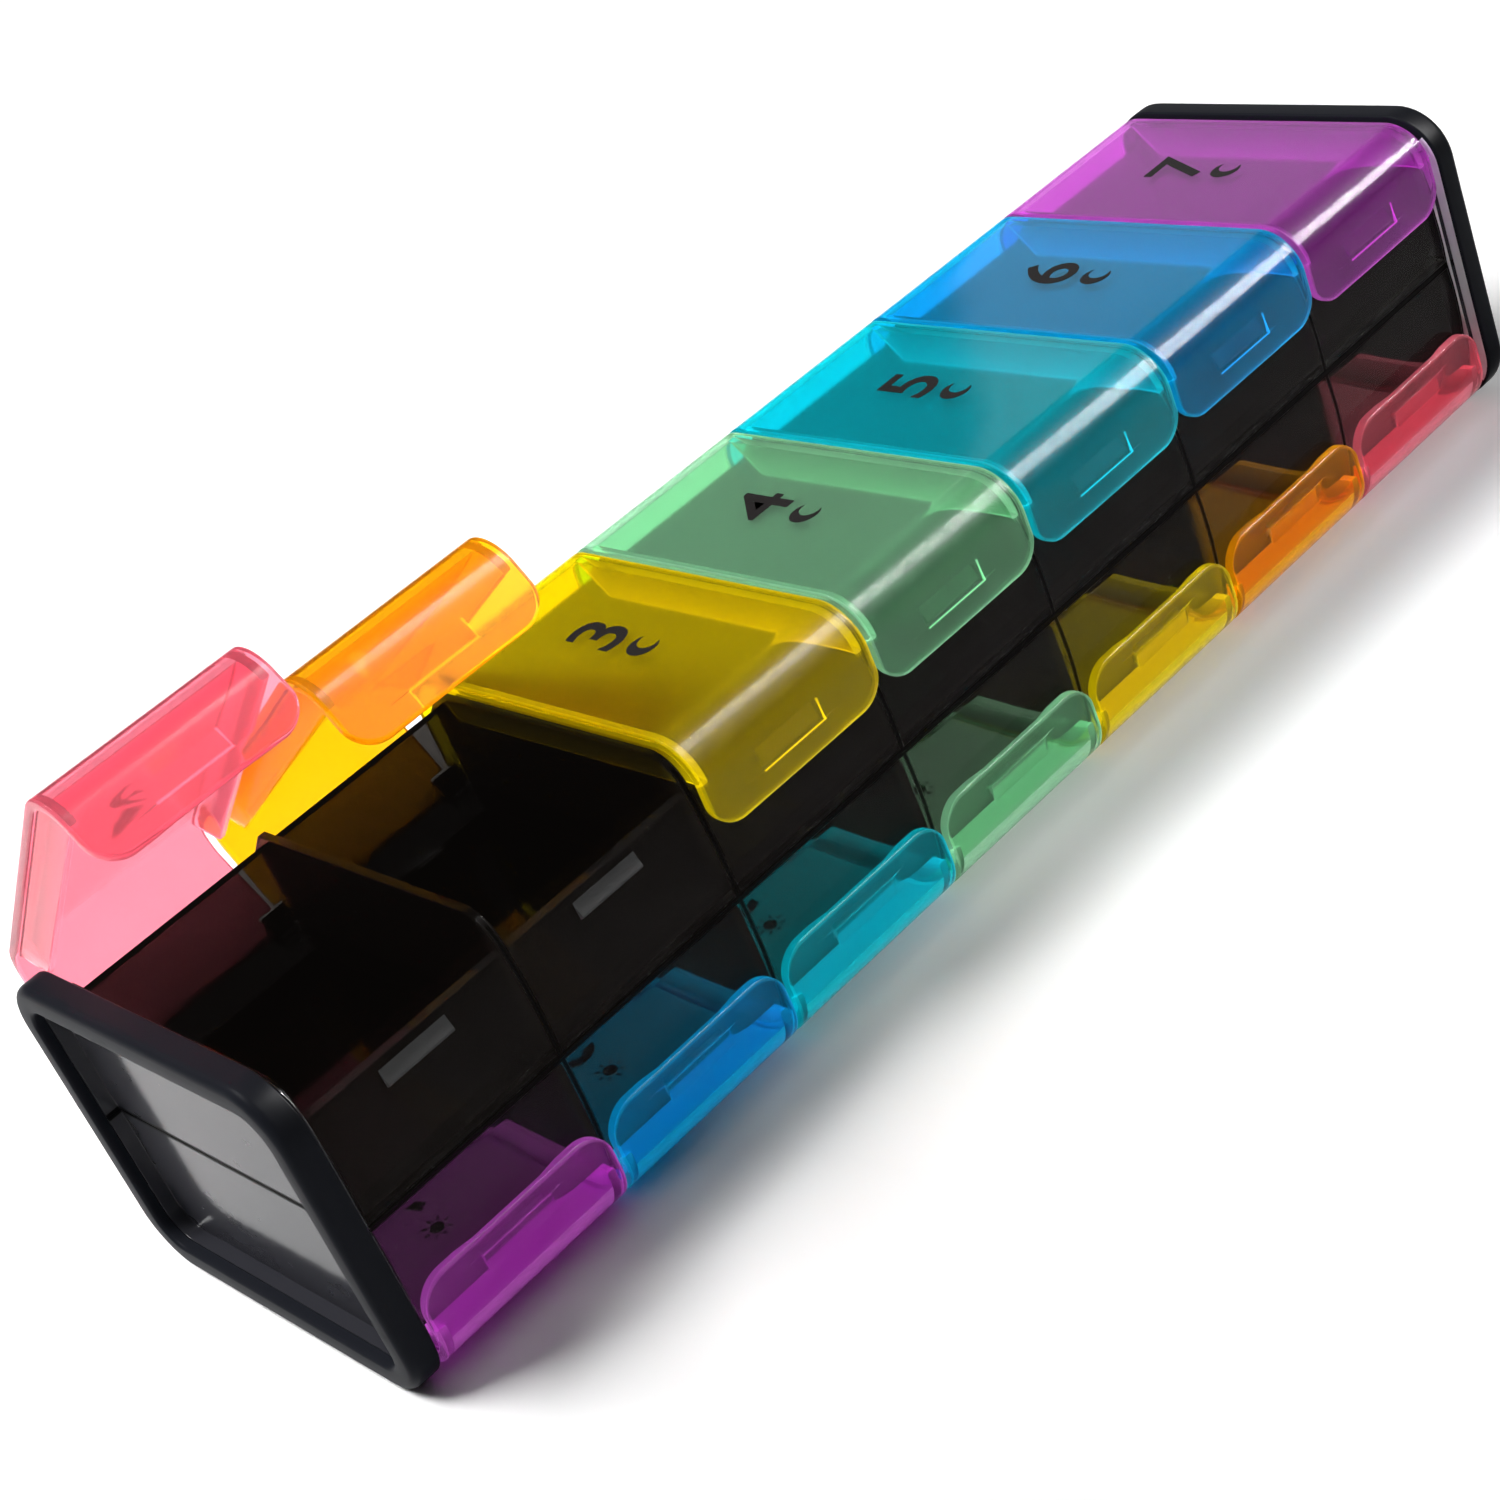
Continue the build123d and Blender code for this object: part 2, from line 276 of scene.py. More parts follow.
def joint_line(material):
    """The two polished end walls meet in an open joint, which shows as a dark line without gloss."""
    tree = material.node_tree
    link = tree.links.new
    shader = tree.nodes["Principled BSDF"]
    tint = shader.inputs["Base Color"].links[0].from_socket
    lines = node_in(tree, "ShaderNodeGroup", node_tree=joint_group)
    dark = node_in(tree, "ShaderNodeMix", data_type="RGBA")
    dark.inputs["B"].default_value = (0.002, 0.002, 0.002, 1.0)
    gloss = node_in(tree, "ShaderNodeMapRange", To_Min=0.68, To_Max=0.0)
    link(tree.nodes["Texture Coordinate"].outputs["Object"], lines.inputs["Position"])
    link(lines.outputs["Joint"], dark.inputs["Factor"])
    link(tint, dark.inputs["A"])
    link(dark.outputs["Result"], shader.inputs["Base Color"])
    link(lines.outputs["Joint"], gloss.inputs["Value"])
    link(gloss.outputs["Result"], shader.inputs["Coat Weight"])


joint_line(polished_end)
smoke_by_wall(smoky_plastic)
pale_flange = moulded_plastic(
    "pale_flange", colour=(0.86, 0.86, 0.88), streak=(0.78, 0.78, 0.80),
    polish=0.48, spread=0.06, scuffs=0.10, grain=0.3, bump=0.05, Specular_IOR_Level=0.3,
)
tray_hinge = Vector((hinge_y, hinge_rise))
front_face_radius, end_wall_x, flange_x, flange_y = 57.88, 111.3, 110.2, 27.6
smoky, polished, nub_frost_and_highlight, pale = range(4)
for tray in ("pm_tray", "am_tray"):
    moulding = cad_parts[tray]
    moulding.data.materials.clear()
    for finish in (smoky_plastic, polished_end, nub_frost_and_painted_highlight, pale_flange):
        moulding.data.materials.append(finish)
    for face in moulding.data.polygons:
        x, y, z = face.center / mm
        face.material_index = smoky
        # Faces of the catch nubs, past the front face: frosted grey with its painted highlight
        if (Vector((y, abs(z - seam_height))) - tray_hinge).length > front_face_radius and y < 0.0:
            face.material_index = nub_frost_and_highlight
        if abs(x) > end_wall_x:
            face.material_index = polished
        elif abs(x) > flange_x and y < -flange_y:
            face.material_index = pale
    joined = moulding.modifiers.new("joined_faces", "WELD")
    joined.merge_threshold = 1e-6
    flat = moulding.modifiers.new("flat_faces", "DECIMATE")
    flat.decimate_type = "DISSOLVE"
    flat.delimit = {"MATERIAL"}
    flat.angle_limit = math.radians(0.3)
    broken = moulding.modifiers.new("broken_edges", "BEVEL")
    broken.width = 0.2 * mm
    broken.segments = 2
    broken.limit_method = "ANGLE"
    broken.angle_limit = math.radians(30.0)
    even = moulding.modifiers.new("even_shading", "WEIGHTED_NORMAL")
    even.weight = 100


# End frames: a rounded rectangular ring pushed over the collars of both trays at each end.
# Near-black satin plastic, with a broad outer round and a lip that covers the collars' edges, and paler
# on the inner face at the front; the organizer stands on these two rings.
frame_half_depth = 30.9
frame_half_height = seam_height
frame_corner = 8.0
corner_steps = 12

satin_plastic = moulded_plastic(
    "satin_frame_plastic", colour=(0.010, 0.011, 0.015), streak=(0.013, 0.014, 0.018),
    polish=0.36, spread=0.10, scuffs=0.06, grain=0.06, bump=0.10, Specular_IOR_Level=0.02,
)


def rounded_outline(inset):
    """Points round the frame's rectangle, set in by a distance, as (y, z)."""
    corner = frame_corner - inset
    reach_y = frame_half_depth - frame_corner
    reach_z = frame_half_height - frame_corner
    points = []
    for quarter, (side_y, side_z) in enumerate(((1, 1), (-1, 1), (-1, -1), (1, -1))):
        for step in range(corner_steps + 1):
            angle = math.radians(90.0 * (quarter + step / corner_steps))
            points.append((
                side_y * reach_y + corner * math.cos(angle),
                seam_height + side_z * reach_z + corner * math.sin(angle),
            ))
    return points


def quarter_round(centre, radius, start, steps=6):
    """Quarter arc in the frame's section, as (along the row, inset) points."""
    return [
        (
            centre[0] + radius * math.cos(math.radians(start + 90.0 * k / steps)),
            centre[1] + radius * math.sin(math.radians(start + 90.0 * k / steps)),
        )
        for k in range(steps + 1)
    ]


frame_outer, frame_inner, shoulder = 115.15, 110.95, 113.55
lip_round, lip_edge_round, skirt_round = 1.3, 0.55, 0.4
collar_seat, lip_inset = 1.9, 3.8
frame_section = (
    quarter_round((frame_outer - lip_round, lip_round), lip_round, -90.0)
    + quarter_round((frame_outer - lip_edge_round, lip_inset - lip_edge_round), lip_edge_round, 0.0)
    + [(shoulder, lip_inset), (shoulder, collar_seat), (frame_inner, collar_seat)]
    + quarter_round((frame_inner + skirt_round, skirt_round), skirt_round, 180.0)
)
for side, sign in (("left", -1.0), ("right", 1.0)):
    mesh = bpy.data.meshes.new(f"end_frame_ring_{side}")
    ring = bmesh.new()
    loops = [
        [ring.verts.new((sign * along * mm, y * mm, z * mm)) for y, z in rounded_outline(inset)]
        for along, inset in frame_section
    ]
    for loop, following in zip(loops, loops[1:] + loops[:1]):
        count = len(loop)
        for k in range(count):
            after = (k + 1) % count
            face = ring.faces.new((loop[k], loop[after], following[after], following[k]))
            inner_face = all(abs(abs(corner.co.x) - frame_inner * mm) < 1e-6 for corner in face.verts)
            at_front = all(corner.co.y < -flange_y * mm for corner in face.verts)
            face.material_index = 1 if inner_face and at_front else 0
    bmesh.ops.recalc_face_normals(ring, faces=ring.faces)
    ring.to_mesh(mesh)
    ring.free()
    mesh.shade_smooth()
    mesh.set_sharp_from_angle(angle=math.radians(40.0))
    mesh.materials.append(satin_plastic)
    mesh.materials.append(pale_flange)
    end_frame = bpy.data.objects.new(f"end_frame_ring_{side}", mesh)
    bpy.context.scene.collection.objects.link(end_frame)
    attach(end_frame, "base")
    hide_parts(f"end_frame_{side}")


# Snap lids: seven on the upper tray and seven on the lower, one tint for each day.
# Translucent polished plastic, each a single moulding that wraps over the front and the back of its bay,
# with a stiffening rib inside each end, a catch pocket in the front skirt and a hinge rod at the back.
row_start = -days * day_pitch / 2
lid_half_width = 15.45
lid_front, lid_back, lid_top = -30.3, 30.3, seam_height + 23.6
lid_wall, lid_bend = 1.5, 6.5
skirt_edge, skirt_corner = lid_top - 13.7, 4.5
back_edge = seam_height + 7.55
edge_round = 0.35
pocket_low, pocket_high = skirt_edge + 3.0, skirt_edge + 5.9
pocket_half, pocket_run_out, pocket_depth, lip_relief = 5.6, 8.5, 0.8, 0.5
rib_edge, rib_near, rib_far, rib_round = lid_top - 6.7, 13.65, 14.85, 0.3
rib_end_y, rib_lean = 20.11, math.radians(40.0)
hinge_z = seam_height + hinge_rise
rod_radius, tongue_half, rod_half = 1.0, 12.9, 15.1
step_room, line_width = 0.03, 0.3
bend_steps, back_points, front_points = 18, 14, 8


def bend_arc(centre_y, centre_z, radius, start):
    """Points round a bend, a quarter turn on from this angle, without the arc's two ends."""
    angles = [start - math.pi / 2 * k / bend_steps for k in range(1, bend_steps)]
    return [(centre_y + radius * math.cos(a), centre_z + radius * math.sin(a)) for a in angles]


def rounded_edge(near, far, level, steps):
    """Points across a free edge that is rounded on both sides."""
    points = []
    for k in range(1, steps):
        y = near + (far - near) * (1 - math.cos(math.pi * k / steps)) / 2
        side = min(near - y, y - far) / edge_round
        drop = edge_round * math.sqrt(max(0.0, 1 - (1 - min(1.0, side)) ** 2))
        points.append((y, level - drop))
    return points


def lid_section(x):
    """Closed outline of the lid, cut across at x: outer points, back end, inner points, front end."""
    reach = abs(x)
    over_corner = max(0.0, reach - (lid_half_width - skirt_corner))
    free_edge = skirt_edge + skirt_corner - math.sqrt(skirt_corner**2 - over_corner**2)
    over_side = max(0.0, reach - (lid_half_width - edge_round))
    inset = edge_round - math.sqrt(max(0.0, edge_round**2 - over_side**2))
    in_tongue = reach < tongue_half
    in_rib = rib_near <= reach <= rib_far
    bend_z = lid_top - lid_bend

    # Heights up the front skirt, with close pairs where the pocket steps in
    lowest = skirt_edge + edge_round
    levels = [lowest, lowest + line_width]
    for level in (pocket_low, pocket_high):
        levels += [level - line_width, level - step_room, level + step_room, level + line_width]
    levels += [bend_z]
    heights = [
        free_edge + edge_round + (bend_z - free_edge - edge_round) * (h - lowest) / (bend_z - lowest)
        for h in levels
    ]
    panel = [lid_front + lid_bend, -16.0, -8.0, 0.0, 8.0, 16.0, rib_end_y, lid_back - lid_bend]
    back_low = hinge_z if in_tongue else back_edge + edge_round
    back_heights = [bend_z + (back_low - bend_z) * k / 3 for k in range(4)]

    outer = [(lid_front + inset, h) for h in heights]
    outer += bend_arc(lid_front + lid_bend, bend_z, lid_bend - inset, math.pi)
    outer += [(y, lid_top - inset) for y in panel]
    outer += bend_arc(lid_back - lid_bend, bend_z, lid_bend - inset, math.pi / 2)
    outer += [(lid_back - inset, h) for h in back_heights]

    # The lip and the pocket run out softly along the skirt, except at the pocket's far end
    run_out = min(1.0, max(0.0, (pocket_run_out - reach) / (pocket_run_out - pocket_half)))
    inner = []
    for level, h in zip(levels, heights):
        depth = 0.0
        if level < pocket_low:
            depth = lip_relief * run_out
        elif level < pocket_high and x < pocket_half:
            depth = pocket_depth * run_out * (pocket_high - level) / (pocket_high - pocket_low)
        inner.append((lid_front + lid_wall - inset - depth, h))
    radius = lid_bend - lid_wall + inset
    inner += bend_arc(lid_front + lid_bend, bend_z, radius, math.pi)
    inner += [(y, lid_top - lid_wall + inset) for y in panel]
    inner += bend_arc(lid_back - lid_bend, bend_z, radius, math.pi / 2)
    rod_sweep = math.radians(240.0)
    back_inner_low = hinge_z - rod_radius * math.sin(rod_sweep) if in_tongue else back_low
    inner += [
        (lid_back - lid_wall + inset, bend_z + (back_inner_low - bend_z) * k / 3) for k in range(4)
    ]
    plain = list(inner)
    if in_rib:
        side_room = min(reach - rib_near, rib_far - reach)
        lift = rib_round - math.sqrt(rib_round**2 - max(0.0, rib_round - side_room) ** 2)
        inner = [
            (y, min(z, max(rib_edge + lift, rib_edge + lift + (y - rib_end_y) / math.tan(rib_lean))))
            if z > rib_edge and y < lid_back - lid_wall - 0.2 else (y, z)
            for y, z in inner
        ]

    ribbed = [below != above for below, above in zip(inner, plain)]

    # Rounded ends of the section: the hinge rod or the back skirt's edge, and the front skirt's edge
    if in_tongue:
        turns = [-rod_sweep * k / back_points for k in range(1, back_points)]
        back_end = [(hinge_y + rod_radius * math.cos(a), hinge_z + rod_radius * math.sin(a)) for a in turns]
    else:
        back_end = rounded_edge(lid_back - inset, lid_back - lid_wall + inset, back_low, back_points)
    front_end = rounded_edge(inner[0][0], outer[0][0], heights[0], front_points)
    return outer, back_end, inner, front_end, ribbed


def lid_stations():
    """Places along the lid's width where its section is taken, closest where the shape turns."""
    half = {0.0, pocket_run_out, rib_near + rib_round / 2, rib_far - rib_round / 2}
    for edge in (pocket_half, tongue_half):
        half |= {edge - step_room, edge + step_room}
    half |= {pocket_half - line_width, pocket_half + line_width}
    for flank, inwards in ((rib_near, 1.0), (rib_far, -1.0)):
        half.add(flank - inwards * step_room)
        half |= {flank + inwards * into for into in (0.01, 0.04, 0.1, rib_round)}
    for k in range(6):
        half.add(lid_half_width - edge_round + edge_round * math.sin(math.radians(18.0 * k)))
    for k in range(13):
        x = lid_half_width - skirt_corner + skirt_corner * math.sin(math.radians(5.5 * k))
        if x < lid_half_width - edge_round:
            half.add(x)
    half = sorted(half)
    return [-x for x in reversed(half[1:])] + half


# Light in the side edges and the ribs, and where the catch lines lie inside the front skirt
side_light, rib_light = 0.14, 0.2
near_side, near_line, catch_from, catch_to = 0.01, 0.1, lid_front + 0.4, lid_front + 2.3
rod_chamfer, rod_facets = 0.3, 24


def lid_moulding(catch_light):
    """Mesh of the closed upper lid at the middle of the row, with this much light in its catch lines."""
    mesh = bpy.data.meshes.new("lid_moulding")
    lid = bmesh.new()
    piped = lid.verts.layers.float.new("edge_light")
    rings = []
    for x in lid_stations():
        outer, back_end, inner, front_end, ribbed = lid_section(x)
        points = outer + back_end + inner[::-1] + front_end
        rings.append([lid.verts.new((x * mm, y * mm, z * mm)) for y, z in points])
        at_side = abs(x) > lid_half_width - edge_round - near_side
        for k, corner in enumerate(rings[-1]):
            at_skirt_end = k == 0 or k >= len(points) - len(front_end) - 1
            corner[piped] = side_light if at_side or at_skirt_end else 0.0
            turned_in = 2 * len(outer) + len(back_end) - 1 - k
            if 0 <= turned_in < len(outer) and ribbed[turned_in]:
                corner[piped] = rib_light
            y, z = points[k]
            on_pocket = abs(x) < pocket_half + near_line and catch_from < y < catch_to
            low_line = on_pocket and abs(z - pocket_low) < near_line
            in_height = pocket_low - near_line < z < pocket_high + near_line
            end_line = on_pocket and x > pocket_half - near_line and in_height
            if low_line or end_line:
                corner[piped] = catch_light
    for ring, following in zip(rings, rings[1:]):
        count = len(ring)
        for k in range(count):
            after = (k + 1) % count
            lid.faces.new((ring[k], ring[after], following[after], following[k]))
    along = len(outer)
    for ring in (rings[0], rings[-1]):
        inside = ring[along + len(back_end): 2 * along + len(back_end)][::-1]
        for k in range(along - 1):
            lid.faces.new((ring[k], ring[k + 1], inside[k + 1], inside[k]))
        lid.faces.new(ring[along - 1: along + len(back_end) + 1])
        lid.faces.new(ring[2 * along + len(back_end) - 1:] + ring[:1])
    # The rod's ends, which turn in the tray's lugs
    for sign in (-1.0, 1.0):
        pin_loops = []
        for x, radius in (
            (tongue_half + 2 * step_room, rod_radius),
            (rod_half - rod_chamfer, rod_radius),
            (rod_half, rod_radius - rod_chamfer),
        ):
            turns = [2 * math.pi * k / rod_facets for k in range(rod_facets)]
            pin_loops.append([
                lid.verts.new((
                    sign * x * mm,
                    (hinge_y + radius * math.cos(turn)) * mm,
                    (hinge_z + radius * math.sin(turn)) * mm,
                ))
                for turn in turns
            ])
        for loop, following in zip(pin_loops, pin_loops[1:]):
            for k in range(rod_facets):
                after = (k + 1) % rod_facets
                lid.faces.new((loop[k], loop[after], following[after], following[k]))
        lid.faces.new(pin_loops[0])
        lid.faces.new(pin_loops[-1])
    bmesh.ops.recalc_face_normals(lid, faces=lid.faces)
    lid.to_mesh(mesh)
    lid.free()
    mesh.shade_smooth()
    mesh.set_sharp_from_angle(angle=math.radians(42.0))
    return mesh


def light_in_the_edges():
    """Group for clear plastic, which carries light inside itself and lets it out at its edges."""
    tree = bpy.data.node_groups.new("light_in_the_edges", "ShaderNodeTree")
    tree.interface.new_socket("Tint", in_out="INPUT", socket_type="NodeSocketColor")
    tree.interface.new_socket("Glow", in_out="OUTPUT", socket_type="NodeSocketColor")
    given = tree.nodes.new("NodeGroupInput")
    result = tree.nodes.new("NodeGroupOutput")
    edge = node_in(tree, "ShaderNodeAttribute", attribute_name="edge_light")
    glow = node_in(tree, "ShaderNodeMix", data_type="RGBA")
    glow.inputs["A"].default_value = (0.0, 0.0, 0.0, 1.0)
    tree.links.new(edge.outputs["Fac"], glow.inputs["Factor"])
    tree.links.new(given.outputs["Tint"], glow.inputs["B"])
    tree.links.new(glow.outputs["Result"], result.inputs["Glow"])
    return tree


edge_group = light_in_the_edges()
# The catch lines are bright on the upper lids, and dim on the lower ones, which face the table
lid_meshes = {"pm": lid_moulding(catch_light=1.0), "am": lid_moulding(catch_light=0.1)}
# Tint of each day: polished colour, and the deeper colour of the flow marks
lid_tints = {
    "red": ((0.93, 0.26, 0.34), (0.90, 0.22, 0.30)),
    "orange": ((1.00, 0.50, 0.004), (0.98, 0.45, 0.003)),
    "yellow": ((0.96, 0.80, 0.003), (0.93, 0.74, 0.002)),
    "green": ((0.44, 0.82, 0.54), (0.39, 0.77, 0.49)),
    "teal": ((0.005, 0.76, 0.86), (0.004, 0.70, 0.82)),
    "blue": ((0.006, 0.56, 0.92), (0.005, 0.50, 0.88)),
    "purple": ((0.72, 0.17, 0.74), (0.66, 0.13, 0.69)),
}
open_degrees = {"pm_lid_1": 41.5, "pm_lid_2": 34.0}
upper_hinge = Vector((0.0, hinge_y * mm, hinge_z * mm))
turned_over = (
    Matrix.Translation((0.0, 0.0, seam_height * mm))
    @ Matrix.Rotation(math.pi, 4, "Y")
    @ Matrix.Translation((0.0, 0.0, -seam_height * mm))
)
lid_places = {}
for day, (tint, (colour, streak)) in enumerate(lid_tints.items(), start=1):
    lid_plastic = moulded_plastic(
        f"{tint}_lid_plastic", colour=colour, streak=streak,
        polish=0.10, spread=0.03, scuffs=0.03, grain=0.0, bump=0.006,
        Transmission_Weight=0.85, IOR=1.32, Specular_IOR_Level=0.10, Specular_Tint=(0.0, 0.0, 0.0, 1.0),
        Coat_Weight=0.06, Coat_Roughness=0.36,
    )
    edges = node_in(lid_plastic.node_tree, "ShaderNodeGroup", node_tree=edge_group)
    edges.inputs["Tint"].default_value = (*colour, 1.0)
    lid_shader = lid_plastic.node_tree.nodes["Principled BSDF"]
    lid_shader.inputs["Emission Strength"].default_value = 1.0
    lid_plastic.cycles.emission_sampling = "NONE"  # no light samples for edges as faint as these
    lid_plastic.node_tree.links.new(edges.outputs["Glow"], lid_shader.inputs["Emission Color"])
    along_row = Matrix.Translation(((row_start + (day - 0.5) * day_pitch) * mm, 0.0, 0.0))
    for row in ("pm", "am"):
        name = f"{row}_lid_{day}"
        swing = (
            Matrix.Translation(upper_hinge)
            @ Matrix.Rotation(math.radians(-open_degrees.get(name, 0.0)), 4, "X")
            @ Matrix.Translation(-upper_hinge)
        )
        place = along_row @ swing
        if row == "am":
            place = turned_over @ along_row
        snap_lid = bpy.data.objects.new(f"{name}_moulding", lid_meshes[row].copy())
        snap_lid.data.materials.append(lid_plastic)
        bpy.context.scene.collection.objects.link(snap_lid)
        snap_lid.matrix_world = place
        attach(snap_lid, name)
        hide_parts(name)
        lid_places[name] = place


# Printed marks on the lids: a numeral for the day, with a crescent on the upper row and a sun on the lower.
# Black ink, pad printed on the outside of the panel in one thin opaque layer.
printing_ink = moulded_plastic(
    "printing_ink", colour=(0.012, 0.010, 0.010), streak=(0.022, 0.020, 0.020),
    polish=0.50, spread=0.15, scuffs=0.15, grain=0.2, bump=0.10, Specular_IOR_Level=0.06,
)
ink_lift, ink_layer = 0.004, 0.02
numeral_height, numeral_baseline, numeral_weight = 9.4, -1.2, 0.16
cap_height = 0.69
mark_middle, mark_radius = -5.6, 2.3


def inked_outline(ink, points):
    """A thin closed plate of ink with this outline, on the panel."""
    low = [ink.verts.new((x * mm, y * mm, (lid_top + ink_lift) * mm)) for x, y in points]
    high = [ink.verts.new((x * mm, y * mm, (lid_top + ink_lift + ink_layer) * mm)) for x, y in points]
    ink.faces.new(low[::-1])
    ink.faces.new(high)
    for k in range(len(points)):
        following = (k + 1) % len(points)
        ink.faces.new((low[k], low[following], high[following], high[k]))


def crescent(ink):
    """Crescent mark: an outer arc closed by a shallower inner one."""
    opening, outer_steps = 40.0, 28
    step = (360.0 - 2 * opening) / outer_steps
    outer = [math.radians(opening + step * k) for k in range(outer_steps + 1)]
    points = [(mark_radius * math.cos(a), mark_middle + mark_radius * math.sin(a)) for a in outer]
    inner_centre, inner_radius, inner_steps = 1.05, 1.65, 20
    tip = math.atan2(points[-1][1] - mark_middle, points[-1][0] - inner_centre)
    sweep = 2 * math.pi + tip - math.atan2(points[0][1] - mark_middle, points[0][0] - inner_centre)
    for k in range(1, inner_steps):
        angle = tip - sweep * k / inner_steps
        points.append((
            inner_centre + inner_radius * math.cos(angle), mark_middle + inner_radius * math.sin(angle),
        ))
    inked_outline(ink, points)


def sun(ink):
    """Sun mark: a disc with eight short rays."""
    disc_radius, ray_from, ray_to, ray_half = 1.05, 1.35, 2.05, 0.2
    rim = [math.radians(15.0 * k) for k in range(24)]
    inked_outline(ink, [(disc_radius * math.cos(a), mark_middle + disc_radius * math.sin(a)) for a in rim])
    corners = ((ray_from, -ray_half), (ray_to, -ray_half), (ray_to, ray_half), (ray_from, ray_half))
    for k in range(8):
        angle = math.radians(45.0 * k)
        out, side = (math.cos(angle), math.sin(angle)), (-math.sin(angle), math.cos(angle))
        inked_outline(ink, [
            (out[0] * r + side[0] * w, mark_middle + out[1] * r + side[1] * w) for r, w in corners
        ])


for name, place in lid_places.items():
    numeral = bpy.data.curves.new(f"{name}_numeral", "FONT")
    numeral.body = name[-1]
    numeral.size = numeral_height / cap_height * mm
    numeral.align_x = "CENTER"
    numeral.offset = numeral_weight * mm
    numeral.extrude = ink_layer / 2 * mm
    drawn = bpy.data.objects.new(f"{name}_numeral", numeral)
    bpy.context.scene.collection.objects.link(drawn)
    bpy.context.view_layer.update()
    shape = bpy.data.meshes.new_from_object(drawn.evaluated_get(bpy.context.evaluated_depsgraph_get()))
    bpy.data.objects.remove(drawn)
    shape.transform(Matrix.Translation((
        0.0, numeral_baseline * mm, (lid_top + ink_lift + ink_layer / 2) * mm,
    )))
    ink = bmesh.new()
    ink.from_mesh(shape)
    if name.startswith("pm"):
        crescent(ink)
    else:
        sun(ink)
    bmesh.ops.recalc_face_normals(ink, faces=ink.faces)
    ink.to_mesh(shape)
    ink.free()
    shape.materials.clear()
    shape.materials.append(printing_ink)
    printed = bpy.data.objects.new(f"{name}_print", shape)
    bpy.context.scene.collection.objects.link(printed)
    printed.matrix_world = place
    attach(printed, name)


# Setting: a plain white table in a studio, seen as in the photograph.
# A broad soft lamp stands behind and to the left. A strip lamp in front and a weak card at the far end only
# give gloss. The table's glow keeps the background white, seen directly, in gloss and through plastic.
table_paint = bpy.data.materials.new("white_table")
table_paint.use_nodes = True
table_paint.cycles.emission_sampling = "NONE"  # rays that meet the table find its glow
tree = table_paint.node_tree
link = tree.links.new
shader = tree.nodes["Principled BSDF"]
shader.inputs["Base Color"].default_value = (0.9, 0.9, 0.9, 1.0)
shader.inputs["Roughness"].default_value = 0.9
shader.inputs["Specular IOR Level"].default_value = 0.0
path = tree.nodes.new("ShaderNodeLightPath")
place = tree.nodes.new("ShaderNodeTexCoord")
# Painted light on the table: for direct and glossy rays its glow grows with distance from the near end,
# fading the object's shadow away from there
away = node_in(tree, "ShaderNodeVectorMath", operation="DISTANCE")
away.inputs[1].default_value = (-0.12, -0.06, 0.0)  # the near end's shadow, which gets no glow
painted_table_glow = node_in(tree, "ShaderNodeMapRange", From_Min=0.06, From_Max=0.12, To_Max=0.30)
seen = node_in(tree, "ShaderNodeMath", operation="MAXIMUM")
seen_painted_glow = node_in(tree, "ShaderNodeMath", operation="MULTIPLY")
seen_through = node_in(tree, "ShaderNodeMath", operation="MULTIPLY_ADD")
seen_through.inputs[1].default_value = 0.5
link(place.outputs["Object"], away.inputs[0])
link(away.outputs["Value"], painted_table_glow.inputs["Value"])
link(path.outputs["Is Camera Ray"], seen.inputs[0])
link(path.outputs["Is Glossy Ray"], seen.inputs[1])
link(seen.outputs[0], seen_painted_glow.inputs[0])
link(painted_table_glow.outputs["Result"], seen_painted_glow.inputs[1])
link(path.outputs["Is Transmission Ray"], seen_through.inputs[0])
link(seen_painted_glow.outputs[0], seen_through.inputs[2])
link(seen_through.outputs[0], shader.inputs["Emission Strength"])
shader.inputs["Emission Color"].default_value = (1.0, 1.0, 1.0, 1.0)
table_mesh = bpy.data.meshes.new("table_top")
reach, level = 4.0, -0.0001
table_mesh.from_pydata(
    [(-reach, -reach, level), (reach, -reach, level), (reach, reach, level), (-reach, reach, level)],
    [], [(0, 1, 2, 3)],
)
table_mesh.materials.append(table_paint)
table = bpy.data.objects.new("table_top", table_mesh)
bpy.context.scene.collection.objects.link(table)

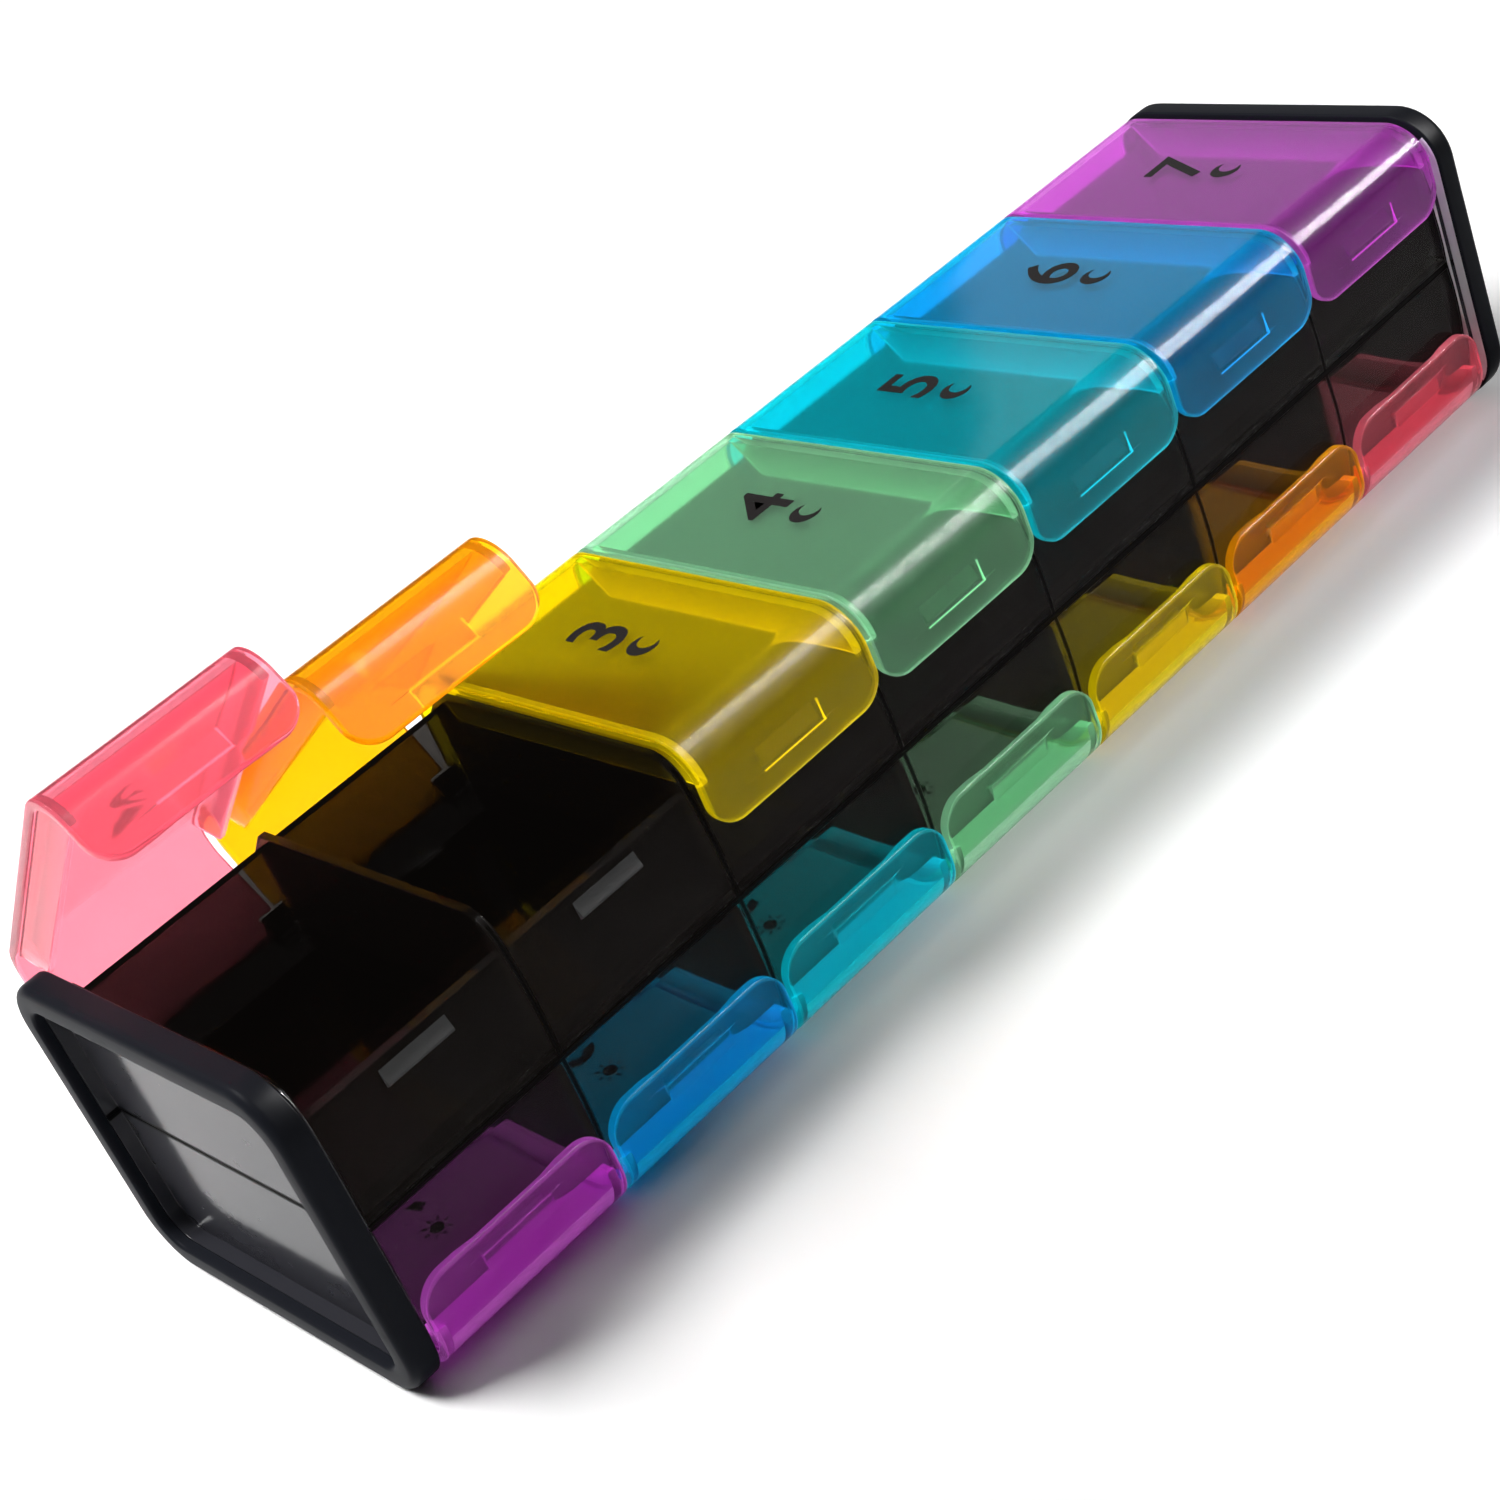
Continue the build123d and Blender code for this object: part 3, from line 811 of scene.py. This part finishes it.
studio = bpy.data.worlds.new("studio")
studio.use_nodes = True
bpy.context.scene.world = studio
sky = studio.node_tree
link = sky.links.new
ceiling = node_in(sky, "ShaderNodeMapRange", From_Min=0.45, From_Max=1.0, To_Min=0.01, To_Max=0.22)
heading = sky.nodes.new("ShaderNodeTexCoord")
rise = sky.nodes.new("ShaderNodeSeparateXYZ")
link(heading.outputs["Generated"], rise.inputs["Vector"])
link(rise.outputs["Z"], ceiling.inputs["Value"])
sky_path = sky.nodes.new("ShaderNodeLightPath")
seen_sky = node_in(sky, "ShaderNodeMath", operation="MAXIMUM")
through_or_light = node_in(sky, "ShaderNodeMath", operation="MAXIMUM")
link(sky_path.outputs["Is Camera Ray"], seen_sky.inputs[0])
link(sky_path.outputs["Is Transmission Ray"], seen_sky.inputs[1])
link(seen_sky.outputs[0], through_or_light.inputs[0])
link(ceiling.outputs["Result"], through_or_light.inputs[1])
link(through_or_light.outputs[0], sky.nodes["Background"].inputs["Strength"])
sky.nodes["Background"].inputs["Color"].default_value = (1.0, 1.0, 1.0, 1.0)

middle = Vector((0.0, 0.0, 0.03))
for name, towards, distance, size, power, on_matt in (
    ("key_lamp", (-0.46, 0.40, 1.0), 1.3, (0.50, 0.50), 22.0, True),
    ("strip_lamp", (0.54, -0.46, 0.70), 1.5, (0.38, 1.3), 180.0, False),
    ("card_lamp", (0.78, 0.53, 0.36), 1.3, (0.6, 0.6), 0.8, False),
):
    lamp = bpy.data.lights.new(name, "AREA")
    lamp.shape = "RECTANGLE"
    lamp.size, lamp.size_y = size
    lamp.energy = power
    stand = bpy.data.objects.new(name, lamp)
    direction = Vector(towards).normalized()
    stand.location = middle + direction * distance
    stand.rotation_euler = direction.to_track_quat("Z", "Y").to_euler()
    stand.visible_diffuse = on_matt
    if not on_matt:
        lamp.cycles.max_bounces = 1
    bpy.context.scene.collection.objects.link(stand)

camera = bpy.data.cameras.new("camera")
camera.lens = 68.99
camera.sensor_width = 36.0
camera.clip_start = 0.01
viewpoint = bpy.data.objects.new("camera", camera)
right = Vector((0.67107, -0.65628, -0.34490))
up = Vector((0.57887, 0.17317, 0.79682))
back = Vector((-0.46321, -0.73437, 0.49611))
turn = Matrix((right, up, back)).transposed().to_4x4()
viewpoint.matrix_world = Matrix.Translation((-0.201267, -0.288422, 0.215518)) @ turn
bpy.context.scene.collection.objects.link(viewpoint)
bpy.context.scene.camera = viewpoint
bpy.context.scene.view_settings.view_transform = "Standard"
